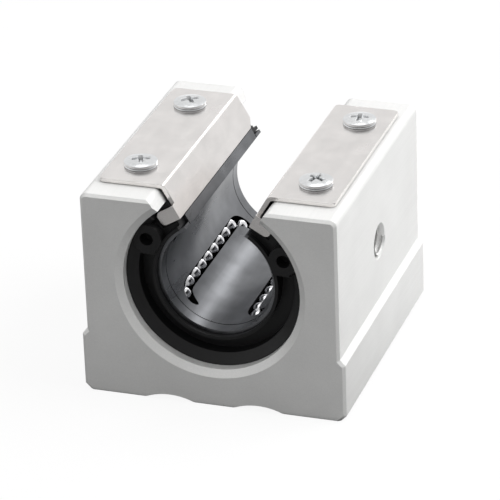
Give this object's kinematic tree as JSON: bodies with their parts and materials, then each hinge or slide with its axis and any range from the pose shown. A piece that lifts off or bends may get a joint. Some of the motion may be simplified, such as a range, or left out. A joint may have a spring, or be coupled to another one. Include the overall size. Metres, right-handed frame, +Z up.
{
  "type": "linear bearing block",
  "caption": "Open linear ball bearing pressed in an aluminium pillow block, slotted along the top for a supported shaft and held by two folded side plates.",
  "frame": {"origin": "bottom centre of the block's mounting face", "axes": "+Z up from the mounting face, the bore runs along Y with the tabbed front end at -Y, +X to the right seen from the front"},
  "size_m": [0.048, 0.05, 0.0403],
  "materials": {
    "machined_aluminium": "fine milled, satin",
    "hardened_steel": "ground",
    "drawn_steel": "smooth, reflective",
    "black_resin": "moulded, low sheen",
    "bearing_balls": "polished",
    "satin_sheet": "satin nickel",
    "zinc_screw": "bright zinc"
  },
  "bodies": {
    "root": {"housing": "machined_aluminium", "bearing_shell": "hardened_steel", "ball_retainer": "black_resin", "inner_sleeve": "drawn_steel", "front_seal_band": "drawn_steel", "rear_seal_band": "drawn_steel", "upper_left_balls": "bearing_balls", "lower_left_balls": "bearing_balls", "lower_right_balls": "bearing_balls", "upper_right_balls": "bearing_balls", "front_end_ring": "black_resin", "rear_end_ring": "black_resin", "left_side_plate": "satin_sheet", "right_side_plate": "satin_sheet", "front_left_screw": "zinc_screw", "front_right_screw": "zinc_screw", "rear_left_screw": "zinc_screw", "rear_right_screw": "zinc_screw"}
  },
  "joints": []
}
